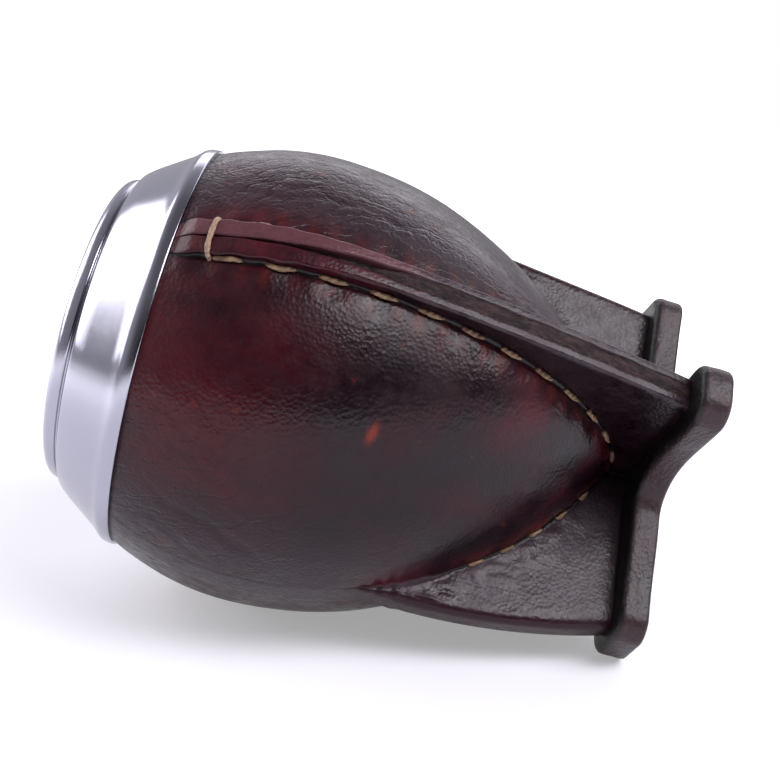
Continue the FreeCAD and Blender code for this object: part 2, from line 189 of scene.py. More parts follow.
# half of a fin and half of the panel beside it at one height: (distance out, distance across) of each point
def halfSection(fin, z, sweep):
    body = float(wallRadius(z, fin["fullness"]))
    middle = float(wallRadius(z, cup["panelFullness"]))
    edge = float(finRadius(fin, z))
    rise = edge - body
    half = float(ridgeHalf(z)) if fin["open"] else fin["half"]
    corner = leather["rawCorner"] if fin["open"] else leather["foldCorner"]
    fillet = leather["seamFillet"] if fin["open"] else leather["fillet"]
    scale = min(1.0, 0.95 * rise / (corner + fillet))
    corner, fillet = corner * scale, fillet * scale
    points = []
    if fin["open"]:
        gap = float(ridgeGap(z))
        depth = min(rise * 0.9, leather["ridgeDepth"][0 if z > leather["coreTop"] else 1])
        lip = min(leather["lip"], 0.4 * depth)
        points += [(edge - depth, 0.0), (edge - depth, 0.6 * gap), (edge - 0.8 * depth, gap),
                   (edge - 0.5 * depth, gap)]
        points += [(edge - lip + lip * math.sin(t), gap + lip * (1.0 - math.cos(t)))
                   for t in np.radians(np.linspace(0.0, 90.0, 4))]
        points += [(edge, gap + lip + (half - corner - gap - lip) * t) for t in (0.3, 0.55, 0.8)]
    else:
        points += [(edge, (half - corner) * t) for t in (0.0, 0.3, 0.6)]
    points += cornerArc(edge - corner, half - corner, corner, leather["cornerPoints"])
    points = [(a - b * b / (2.0 * edge), b) for a, b in points]
    tips = len(points)
    centre = math.sqrt((body + fillet) ** 2 - (half + fillet) ** 2)
    outer = points[-1][0]
    reach = np.linspace(0.0, 1.0, leather["sidePoints"] + 2)[1:-1]
    points += [(outer + (centre - outer) * t, half) for t in reach]
    angleEnd = math.atan2(half + fillet, centre)
    for t in np.linspace(0.0, 1.0, leather["filletPoints"]):
        turn = math.radians(-90.0) + t * (math.radians(-180.0) + angleEnd - math.radians(-90.0))
        points.append((centre + fillet * math.cos(turn), half + fillet + fillet * math.sin(turn)))
    steps = np.linspace(0.0, 1.0, leather["panelPoints"] + 1)[1:]
    for t in steps:
        turn = angleEnd + (sweep - angleEnd) * (0.55 * t + 0.45 * t ** 2)
        share = (turn - angleEnd) / (sweep - angleEnd)
        radius = body + (middle - body) * share ** 2 * (3.0 - 2.0 * share)
        points.append((radius * math.cos(turn), radius * math.sin(turn)))
    root = tips + leather["sidePoints"] + leather["filletPoints"] // 2
    return points, root, tips


# heights with an even spacing along the leather, closer near the tip
def stationHeights():
    fine = np.linspace(cup["soleThickness"] - 0.05, cup["collarHeight"] + cup["tuck"], 4000)
    radius = wallRadius(fine)
    steps = np.hypot(np.diff(fine), np.diff(radius)) * (1.0 + 0.5 * np.exp(-((fine[1:] - 12.0) / 8.0) ** 2))
    length = np.concatenate([[0.0], np.cumsum(steps)])
    return np.interp(np.linspace(0.0, length[-1], leather["rows"]), length, fine)


# the whole outline at one height, with what each point belongs to
def sectionRing(z):
    ring, info = [], []
    fins = cup["fins"]
    for place, fin in enumerate(fins):
        for side in (-1, 1):
            other = fins[(place + side) % len(fins)]
            sweep = math.radians(((other["angle"] - fin["angle"]) * side) % 360.0) / 2.0
            points, root, tips = halfSection(fin, z, sweep)
            lengths = np.concatenate([[0.0], np.cumsum(np.hypot(*np.diff(np.array(points), axis=0).T))])
            angle = math.radians(fin["angle"])
            rows = []
            for j, (a, b) in enumerate(points):
                b = b * side
                x, y = a * math.cos(angle) - b * math.sin(angle), a * math.sin(angle) + b * math.cos(angle)
                rows.append((x, y, z))
            kinds = [(place, side, lengths[j] - lengths[root], j < tips) for j in range(len(points))]
            if side < 0:
                rows.reverse()
                kinds.reverse()
            ring += rows[1:]                        # the shared point comes from the half before
            info += kinds[1:]
    return ring, info


# creases of the hide run down from the rim in groups: first angle, last angle, how many, lean, longest
creases = {
    "groups": [(14.0, 64.0, 13, 2.0, 32.0), (266.0, 324.0, 14, -12.0, 26.0), (112.0, 232.0, 9, 3.0, 34.0)],
    "top": 94.0, "depth": 0.62, "width": 0.52, "wander": 3.2, "drift": 2.0, "seed": 11,
}


def creaseLines():
    draw = random.Random(creases["seed"])
    lines = []
    for first, last, count, lean, longest in creases["groups"]:
        for n in range(count):
            angle = first + (last - first) * (n + 0.5 + draw.uniform(-0.4, 0.4)) / count
            top = creases["top"] - draw.uniform(0.0, 0.45) * longest
            length = longest * draw.uniform(0.4, 1.0)
            low = (angle + lean * length / 20.0, top - length)
            lines.append(((angle, top), low, creases["depth"] * draw.uniform(0.5, 1.2)))
    return lines


# how near each point is to a line on the leather from one (angle, height) to another
def scoreLine(angles, heights, start, end, width):
    radius = cup["bellyRadius"]
    ax, ay = math.radians(start[0]) * radius, start[1]
    bx, by = math.radians(end[0]) * radius, end[1]
    px = np.radians(angles) * radius
    t = ((px - ax) * (bx - ax) + (heights - ay) * (by - ay)) / ((bx - ax) ** 2 + (by - ay) ** 2)
    t = np.clip(t, 0.0, 1.0)
    distance = np.hypot(px - ax - t * (bx - ax), heights - ay - t * (by - ay))
    return np.exp(-(distance / width) ** 2) * np.sin(np.pi * np.clip(t, 0.02, 0.98)) ** 0.4


# heights of the awl holes from the top down
def holeHeights(fin):
    pitch = leather["seamStitches"] if fin["open"] else leather["foldStitches"]
    z = leather["seamTop"] if fin["open"] else leather["foldTop"]
    heights = []
    while True:
        heights.append(z)
        shown = len(heights) % 2 == 1               # every second stitch shows on the near side and is longer
        step = pitch * (0.82 + 0.26 * z / 80.0) * (1.14 if shown else 0.86)
        slope = float(wallRadius(z + 0.1, fin["fullness"]) - wallRadius(z - 0.1, fin["fullness"])) / 0.2
        z -= step / math.hypot(1.0, slope)
        if float(bodyRadius(z, fin["fullness"])) < leather["stitchEnd"]:
            return heights


# how far the hide stands in or out, in mm
relief = {
    "swell": 0.22, "dimple": 0.04, "finWave": 0.16, "puckers": 0.13, "seamDip": 0.35, "crease": 0.20,
    "wrinkle": 0.07, "pinch": 0.16, "pinchHeight": 46.0, "finWrinkle": 0.50,
    "scarAngle": 325.8, "scarHeight": 55.9,
}


def buildCover():
    heights = stationHeights()
    rings = [sectionRing(z) for z in heights]
    grid = np.array([ring for ring, info in rings])
    place = np.array([[k[0] for k in info] for ring, info in rings])
    side = np.array([[k[1] for k in info] for ring, info in rings])
    root = np.array([[k[2] for k in info] for ring, info in rings])
    tip = np.array([[float(k[3]) for k in info] for ring, info in rings])
    normal = gridNormals(grid)
    z = grid[..., 2]
    angle = np.degrees(np.arctan2(grid[..., 1], grid[..., 0])) % 360.0
    isSeam = place == 0
    onPanel = smoothStep(0.5, 5.0, root)
    onSide = (root < -0.2) & (tip < 0.5)

    push = relief["swell"] * noiseAt(grid, 17.0, 3.1) * onPanel
    push += relief["dimple"] * noiseAt(grid, 5.0, 9.4) * onPanel
    # fins are slightly wavy sheets, the seam's ridges bulge between the stitches
    push += np.where(onSide, relief["finWave"] * noiseAt(grid, 7.0, 21.0), 0.0)
    travelled = np.concatenate([[0.0], np.cumsum(np.hypot(np.diff(heights), np.diff(wallRadius(heights))))])
    fold = np.cos(2.0 * np.pi * travelled / (2.0 * leather["foldStitches"]))[:, None]
    near = np.exp(-((root - 1.6) / 1.7) ** 2)
    reachDown = np.where(isSeam, 1.0, smoothStep(46.0, 38.0, z))
    push += relief["puckers"] * fold * near * reachDown
    sewn = np.where(isSeam, smoothStep(93.0, 90.0, z), smoothStep(40.0, 34.0, z))
    push -= relief["seamDip"] * (np.exp(-(root / 0.55) ** 2) * sewn)

    # long soft creases of the hide
    lines = np.zeros_like(z)
    wavyAngle = angle + creases["wander"] * noiseAt(grid, 7.0, 31.0) + 0.8 * noiseAt(grid, 2.2, 35.0)
    wavyHeight = z + creases["drift"] * noiseAt(grid, 9.0, 61.0)
    for start, end, depth in creaseLines():
        lines += depth * scoreLine(wavyAngle, wavyHeight, start, end, creases["width"])
    wrinkles = noiseAt(grid, 2.6, 40.0, (1.0, 1.0, 0.32)) * smoothStep(70.0, 92.0, z) * onPanel
    push -= relief["crease"] * lines * onPanel + relief["wrinkle"] * np.abs(wrinkles)
    # pinched folds where a folded fin runs into the belly
    pinched = np.exp(-((z - relief["pinchHeight"]) / 5.0) ** 2) * np.exp(-(np.abs(root) / 4.5) ** 2)
    pinch = np.where(isSeam, 0.0, pinched)
    push += relief["pinch"] * pinch * np.sin(z * 2.2 + 3.0 * noiseAt(grid, 9.0, 77.0))
    # the folded fins' sides are wrinkled beside the stitches
    wrinkled = np.where(isSeam | ~onSide, 0.0, np.exp(-((root + 3.6) / 3.6) ** 2) * smoothStep(44.0, 38.0, z))
    push += relief["finWrinkle"] * wrinkled * np.abs(noiseAt(grid, 2.4, 55.0, (1.0, 1.0, 0.6)))
    grid = grid + normal * push[..., None]
    grid[..., 2] = np.maximum(grid[..., 2], cup["soleThickness"] - 0.05)

    # painted shade: a near-black line along the crease where each fin meets the body, all along the seam fin
    # and low down on the folded fins
    rootShade = np.exp(-(root / 0.45) ** 2) * np.where(isSeam, 1.0, smoothStep(38.0, 34.0, z))
    # worn patches where the thread pulls on the hide
    patch = np.zeros_like(z)
    for finPlace, fin in enumerate(cup["fins"]):
        for count, hole in enumerate(holeHeights(fin)):
            strength = 0.35 + 0.65 * abs(noise.noise(Vector((count * 1.7, fin["angle"], 3.0)))) * 2.0
            spot = np.exp(-((z - hole + 0.4) / 1.0) ** 2) * np.exp(-((root - 2.0) / 2.0) ** 2)
            patch += np.where(place == finPlace, spot * strength, 0.0)
    aside = angle - relief["scarAngle"]
    scar = np.exp(-((aside / 2.4) ** 2 + ((z - relief["scarHeight"] + 0.15 * aside) / 0.75) ** 2) ** 1.5)
    attributes = {
        "rootDistance": root, "isSeam": isSeam.astype(float), "tipPart": tip, "rootShade": rootShade, "pinch": pinch,
        "crease": np.clip(lines, 0.0, 1.0), "panelAngle": angle / 360.0, "sideSign": side.astype(float),
        "around": np.radians(angle) * 40.0 / 1000.0,      # metres round the belly
        "patch": np.clip(patch, 0.0, 1.0), "scar": scar,
    }
    rows, columns = z.shape
    return makeMesh("leatherCover", grid.reshape(-1, 3), gridFaces(rows, columns), attributes)


cover = buildCover()
print("cover", len(cover.data.polygons), "faces")

# the rough layer that shows between the two skins of the seam fin
core = {"rows": 170, "columns": 9, "sunk": 0.04, "top": 74.0, "rough": 0.24}


def buildCore():
    heights = np.linspace(cup["soleThickness"], core["top"], core["rows"])
    columns = core["columns"]
    vertices = []
    for z in heights:
        edge = float(finRadius(finByName["seam"], z))
        gap = float(ridgeGap(z)) + 0.12
        sunk = core["sunk"] + 1.2 * smoothStep(leather["coreTop"] - 6.0, leather["coreTop"] + 4.0, z)
        for j in range(columns):
            across = -1.0 + 2.0 * j / (columns - 1)
            rough = core["rough"] * noise.noise(Vector((across * 1.7, z * 1.1, 4.0)))
            rough += 0.5 * core["rough"] * noise.noise(Vector((across * 4.0, z * 2.7, 8.0)))
            vertices.append((edge - sunk - 0.25 * across ** 2 + rough, across * gap, z))
    return makeMesh("seamCore", vertices, gridFaces(len(heights), columns, closed=False))


seamCore = buildCore()
print("seam core", len(seamCore.data.polygons), "faces")

# the four-armed sole: how far each arm reaches, half its width at its end and root, and how far it is aside
sole = {
    "reach": {"seam": 39.0, "far": 36.4, "back": 36.4, "low": 36.4},
    "half": {"seam": 5.7, "far": 7.3, "back": 7.3, "low": 7.3},
    "rootHalf": {"seam": 5.5, "far": 8.3, "back": 8.3, "low": 8.8},
    "shift": {"seam": -1.0, "far": 0.0, "back": 0.0, "low": 0.0},
    "tip": 4.4, "root": 18.5, "hollow": 15.0, "edgeRound": 0.7, "bevel": 0.9,
}


# a smooth curve through the points with given directions at its ends
def hermite(points, tangentStart, tangentEnd, count):
    p = [np.array(q, float) for q in points]
    tangents = [np.array(tangentStart) * np.linalg.norm(p[1] - p[0])]
    tangents += [0.5 * (p[i + 1] - p[i - 1]) for i in range(1, len(p) - 1)]
    tangents.append(np.array(tangentEnd) * np.linalg.norm(p[-1] - p[-2]))
    out = []
    for i in range(len(p) - 1):
        for t in np.linspace(0.0, 1.0, count, endpoint=False):
            here, leave = 2 * t ** 3 - 3 * t ** 2 + 1, t ** 3 - 2 * t ** 2 + t
            there, arrive = -2 * t ** 3 + 3 * t ** 2, t ** 3 - t ** 2
            out.append(here * p[i] + leave * tangents[i] + there * p[i + 1] + arrive * tangents[i + 1])
    return out


def armAxes(name):
    angle = math.radians(finByName[name]["angle"])
    return np.array([math.cos(angle), math.sin(angle)]), np.array([-math.sin(angle), math.cos(angle)])


def soleOutline():
    outline = []
    for place, name in enumerate(names):
        along, across = armAxes(name)
        follower = names[(place + 1) % len(names)]
        nextAlong, nextAcross = armAxes(follower)
        shoulder = sole["reach"][name] - sole["tip"]
        inner = sole["half"][name] - sole["tip"]
        start, nextStart = across * sole["shift"][name], nextAcross * sole["shift"][follower]
        for side, angles in ((-1, np.linspace(90, 0, 12)), (1, np.linspace(0, 90, 12))):
            for t in np.radians(angles):
                outline.append(start + along * (shoulder + sole["tip"] * math.cos(t))
                               + across * side * (inner + sole["tip"] * math.sin(t)))
        turn = (finByName[follower]["angle"] - finByName[name]["angle"]) % 360.0
        half = math.radians(finByName[name]["angle"] + 0.5 * turn)
        nextShoulder = sole["reach"][follower] - sole["tip"]
        points = [start + along * shoulder + across * sole["half"][name],
                  start + along * sole["root"] + across * sole["rootHalf"][name],
                  sole["hollow"] * np.array([math.cos(half), math.sin(half)]),
                  nextStart + nextAlong * sole["root"] - nextAcross * sole["rootHalf"][follower],
                  nextStart + nextAlong * nextShoulder - nextAcross * sole["half"][follower]]
        outline += hermite(points, -along, nextAlong, 14)[1:]
    return np.array(outline)


def buildSole():
    outline = soleOutline()
    around = np.roll(outline, -1, axis=0) - np.roll(outline, 1, axis=0)
    outward = np.stack([around[:, 1], -around[:, 0]], axis=1)
    outward /= np.linalg.norm(outward, axis=1, keepdims=True)
    length = np.concatenate([[0.0], np.cumsum(np.linalg.norm(np.diff(outline, axis=0), axis=1))])
    thick, bevel, rounding = cup["soleThickness"], sole["bevel"], sole["edgeRound"]
    layers = [(-3.0, 0.0), (-1.6, 0.0), (-rounding, 0.0)]
    turns = np.radians((30, 60, 90))
    layers += [(-rounding * (1 - math.sin(t)), rounding * (1 - math.cos(t))) for t in turns]
    layers += [(0.0, h) for h in np.linspace(rounding + 0.5, thick - bevel - 0.3, 7)]
    layers += [(-0.12 * bevel, thick - 0.75 * bevel), (-0.5 * bevel, thick - 0.3 * bevel)]
    layers += [(-bevel, thick), (-2.2, thick)]
    grid, edge = [], []
    for inset, height in layers:
        for j, point in enumerate(outline):
            wobble = 0.10 * noise.noise(Vector((length[j] / 3.0, height / 2.5, 2.0)))
            wobble += 0.05 * noise.noise(Vector((length[j] / 0.9, height / 0.9, 5.0)))
            share = 1.0 if 0.2 < height < thick - 0.2 else 0.25
            spot = point + outward[j] * (inset + wobble * share - 0.1)
            grid.append((spot[0], spot[1], height))
            edge.append(height / thick)
    rows, columns = len(layers), len(outline)
    faces = gridFaces(rows, columns)
    for row, flip in ((0, True), (rows - 1, False)):      # both flats, closed in rings towards the middle
        base = row * columns
        last = [base + j for j in range(columns)]
        for share in (0.8, 0.55, 0.3, 0.1):
            start = len(grid)
            for j in range(columns):
                x, y, h = grid[base + j]
                lift = 0.06 * noise.noise(Vector((x * share / 3.0, y * share / 3.0, row)))
                grid.append((x * share, y * share, h + (abs(lift) if row == 0 else -abs(lift))))
                edge.append(h / thick)
            ringIndex = [start + j for j in range(columns)]
            for j in range(columns):
                n = (j + 1) % columns
                quad = [last[j], last[n], ringIndex[n], ringIndex[j]]
                faces.append(quad[::-1] if flip else quad)
            last = ringIndex
        faces.append(last[::-1] if flip else last)
    return makeMesh("soleStar", grid, faces, {"edgeHeight": edge})


solePiece = buildSole()
print("sole", len(solePiece.data.polygons), "faces")

# the spun metal rim and the gourd inside it, both turned
rim = {
    "segments": 256,
    "outline": [  # (radius, height, rounding)
        (36.6, 94.9, 0.0), (37.15, 94.15, 0.15), (37.95, 94.3, 0.3), (37.75, 96.3, 0.9), (36.2, 97.8, 0.9),
        (31.9, 104.2, 1.2), (30.4, 106.0, 1.3), (29.1, 106.15, 0.25), (28.75, 106.5, 0.2),
        (29.05, 106.9, 0.3), (28.5, 108.6, 1.6), (27.2, 109.4, 1.0), (26.1, 109.3, 0.6), (25.6, 108.4, 0.6),
        (25.6, 98.2, 0.3), (26.3, 97.9, 0.0)],
    "wobble": 0.035,
}
shell = {"segments": 160, "wall": 4.5, "leather": 2.1, "rough": 0.18}


# a line of (radius, height, rounding) as points with rounded corners
def roundedOutline(outline, steps=6):
    out = [outline[0][:2]]
    for before, here, after in zip(outline, outline[1:], outline[2:]):
        a, b, c = (np.array(q[:2]) for q in (before, here, after))
        reach = min(here[2], 0.48 * np.linalg.norm(a - b), 0.48 * np.linalg.norm(c - b))
        start = b + (a - b) / np.linalg.norm(a - b) * reach
        end = b + (c - b) / np.linalg.norm(c - b) * reach
        for t in np.linspace(0.0, 1.0, steps):
            out.append(tuple((1 - t) ** 2 * start + 2 * t * (1 - t) * b + t ** 2 * end))
    out.append(outline[-1][:2])
    return out


def turnedMesh(name, outline, segments, wobble, seed):
    vertices = []
    for radius, height in outline:
        for j in range(segments):
            turn = 2.0 * math.pi * j / segments
            x, y = math.cos(turn), math.sin(turn)
            r = radius + wobble * noise.noise(Vector((x * 1.6, y * 1.6, height / 9.0 + seed)))
            vertices.append((r * x, r * y, height))
    return makeMesh(name, vertices, gridFaces(len(outline), segments))


# the hollow, from the mouth down to its bottom
def gourdOutline():
    inset = shell["wall"] + shell["leather"]
    heights = np.linspace(cup["tipHeight"] + 1.0, cup["collarHeight"] + 2.0, 60)
    points = []
    for z in heights:
        slope = float(bodyRadius(z + 0.05) - bodyRadius(z - 0.05)) / 0.1
        size = math.hypot(1.0, slope)
        radius = float(bodyRadius(z)) - inset / size
        if radius > 0.3:
            points.append((radius, z + inset * slope / size))
    points = [p for p in points if p[1] < 97.0]
    mouth = [(26.5, 98.1), (27.4, 97.9), (points[-1][0] - 0.6, 97.3)]
    return mouth + points[::-1] + [(0.05, points[0][1] - 0.4)]


rimPiece = turnedMesh("metalRim", roundedOutline(rim["outline"]), rim["segments"], rim["wobble"], 1.0)
gourdPiece = turnedMesh("gourdShell", gourdOutline(), shell["segments"], shell["rough"], 6.0)
print("rim and gourd")

# the waxed thread: half width and half thickness of the flat strand, how far it stands out and dives in
thread = {"width": 0.52, "thick": 0.30, "sides": 8, "steps": 14, "lift": 0.16, "dive": 0.55, "twist": 0.9,
          "loopTop": 88.4}


# middle of the crease between a fin and the body, moved out of the leather
def rootPoint(fin, side, z, out):
    points, root, tips = halfSection(fin, z, math.radians(45.0))
    a, b = points[root]
    angle = math.radians(fin["angle"])
    a, b = a + 0.6 * out, (b + 0.8 * out) * side
    return np.array([a * math.cos(angle) - b * math.sin(angle), a * math.sin(angle) + b * math.cos(angle), z])


# a flattened strand along a path, with a slow twist
def tube(path, widths, seed):
    path = np.array(path)
    along = np.gradient(path, axis=0)
    along /= np.linalg.norm(along, axis=1, keepdims=True)
    outward = path * np.array([1.0, 1.0, 0.0])
    across = np.cross(along, outward)
    across /= np.linalg.norm(across, axis=1, keepdims=True)
    up = np.cross(across, along)
    vertices = []
    for k, point in enumerate(path):
        for j in range(thread["sides"]):
            turn = 2.0 * math.pi * j / thread["sides"]
            swell = 1.0 + 0.10 * math.cos(2.0 * turn + thread["twist"] * k)
            swell += 0.05 * noise.noise(Vector((k * 0.9, j * 0.8, seed)))
            vertices.append(point + across[k] * thread["width"] * math.cos(turn) * swell * widths[k]
                            + up[k] * thread["thick"] * math.sin(turn) * swell * widths[k])
    faces = gridFaces(len(path), thread["sides"])
    faces.append(list(range(thread["sides"]))[::-1])
    faces.append([(len(path) - 1) * thread["sides"] + j for j in range(thread["sides"])])
    return vertices, faces


def stitch(fin, side, high, low, seed):
    path, widths = [], []
    for t in np.linspace(0.0, 1.0, thread["steps"]):
        z = high + (low - high) * t
        arch = math.sin(math.pi * t) ** 0.35
        out = -thread["dive"] * (1.0 - arch) + thread["lift"] * arch
        path.append(rootPoint(fin, side, z, out))
        widths.append(0.72 + 0.28 * math.sin(math.pi * t) ** 0.5)
    return tube(path, widths, seed)


# the first stitch, over the top of both ridges
def seamLoop(fin):
    z = thread["loopTop"]
    edge = float(finRadius(fin, z))
    half = float(ridgeHalf(z))
    body = float(wallRadius(z, fin["fullness"]))
    corners = [(body - 0.7, -half - 0.5, z - 0.9), (body + 0.35, -half - 0.45, z - 0.7),
               (edge - 0.3, -half - 0.15, z - 0.3), (edge + 0.45, -half + 1.0, z),
               (edge + 0.35, 0.0, z + 0.1), (edge + 0.45, half - 1.0, z), (edge - 0.3, half + 0.15, z - 0.2),
               (body + 0.3, half + 0.45, z - 0.3), (body - 0.7, half + 0.5, z - 0.4)]
    p = [np.array(q) for q in corners]
    path = []
    for i in range(len(p) - 1):
        before, after = p[max(i - 1, 0)], p[min(i + 2, len(p) - 1)]
        square = 2 * before - 5 * p[i] + 4 * p[i + 1] - after
        cube = -before + 3 * p[i] - 3 * p[i + 1] + after
        for t in np.linspace(0.0, 1.0, 5, endpoint=False):
            path.append(0.5 * (2 * p[i] + (p[i + 1] - before) * t + square * t ** 2 + cube * t ** 3))
    return tube(path, [0.85] * len(path), 5.0)


def buildThread(name):
    fin = finByName[name]
    vertices, faces = [], []

    def add(part):
        start = len(vertices)
        vertices.extend(part[0])
        faces.extend([[start + i for i in face] for face in part[1]])

    heights = holeHeights(fin)
    for place, (high, low) in enumerate(zip(heights, heights[1:])):
        side = -1 if place % 2 == 0 else 1
        add(stitch(fin, side, high - 0.1, low + 0.1, place + fin["angle"]))
    if fin["open"]:
        add(seamLoop(fin))
    return makeMesh("thread" + name.capitalize(), vertices, faces)


threads = {name: buildThread(name) for name in names}
print("threads")


# short way to lay nodes: shader.add(kind, inputs, settings) returns the node
class Shader:
    def __init__(self, name):
        self.material = bpy.data.materials.new(name)
        self.material.use_nodes = True
        self.tree = self.material.node_tree
        self.tree.nodes.clear()
        self.output = self.tree.nodes.new("ShaderNodeOutputMaterial")

    def add(self, kind, inputs=None, **settings):
        node = self.tree.nodes.new("ShaderNode" + kind)
        for key, value in settings.items():
            setattr(node, key, value)
        for key, value in (inputs or {}).items():
            self.put(node.inputs[key], value)
        return node

    def put(self, socket, value):
        if isinstance(value, bpy.types.NodeSocket):
            self.tree.links.new(value, socket)
        elif isinstance(value, bpy.types.Node):
            self.tree.links.new(value.outputs[0], socket)
        else:
            socket.default_value = value

    def attribute(self, name):
        return self.add("Attribute", attribute_name=name)

    def math(self, operation, a, b=0.0):
        return self.add("Math", {0: a, 1: b}, operation=operation).outputs[0]

    def height(self):
        return self.add("SeparateXYZ", {0: self.attribute("cupPoint").outputs["Vector"]}).outputs[2]

    def span(self, value, low, high, outLow=0.0, outHigh=1.0):
        return self.add("MapRange", {"Value": value, "From Min": low, "From Max": high, "To Min": outLow,
                                     "To Max": outHigh}, interpolation_type="SMOOTHSTEP").outputs[0]

    # colour mix: a where the factor is 0, b where it is 1
    def mix(self, factor, a, b):
        node = self.add("Mix", data_type="RGBA")
        self.put(node.inputs[0], factor)
        self.put(node.inputs[6], a)
        self.put(node.inputs[7], b)
        return node.outputs[2]

    # where a texture is laid: the cup's own upright place, stretched
    def place(self, stretch):
        vector = self.attribute("cupPoint").outputs["Vector"]
        return self.add("Mapping", {"Vector": vector, "Scale": stretch}).outputs[0] if stretch else vector

    def noise(self, scale, detail=3.0, roughness=0.55, stretch=None):
        return self.add("TexNoise", {"Vector": self.place(stretch), "Scale": scale, "Detail": detail,
                                     "Roughness": roughness}).outputs["Fac"]

    def voronoi(self, scale, stretch=None):
        return self.add("TexVoronoi", {"Vector": self.place(stretch), "Scale": scale}).outputs["Distance"]

    def bump(self, height, strength, distance, normal=None):
        inputs = {"Height": height, "Strength": strength, "Distance": distance}
        if normal is not None:
            inputs["Normal"] = normal
        return self.add("Bump", inputs).outputs[0]

    def finish(self, node, piece):
        self.tree.links.new(node.outputs[0], self.output.inputs["Surface"])
        piece.data.materials.append(self.material)


def colour(r, g, b):
    return (r, g, b, 1.0)


coverLook = {
    "black": colour(0.007, 0.0015, 0.004), "deep": colour(0.015, 0.002, 0.006),
    "oxblood": colour(0.026, 0.002, 0.0065), "red": colour(0.074, 0.004, 0.010),
    "orange": colour(0.24, 0.026, 0.012), "brown": colour(0.022, 0.007, 0.014),
    "grey": colour(0.052, 0.034, 0.043), "mauve": colour(0.125, 0.042, 0.052),
    "rootShade": colour(0.004, 0.002, 0.003),
    "creaseTurn": -0.58, "creaseStretch": 0.09, "creaseWaver": 0.010,
    "roughness": 0.34, "coat": 0.12, "coatRoughness": 0.20, "specular": 0.26,
}


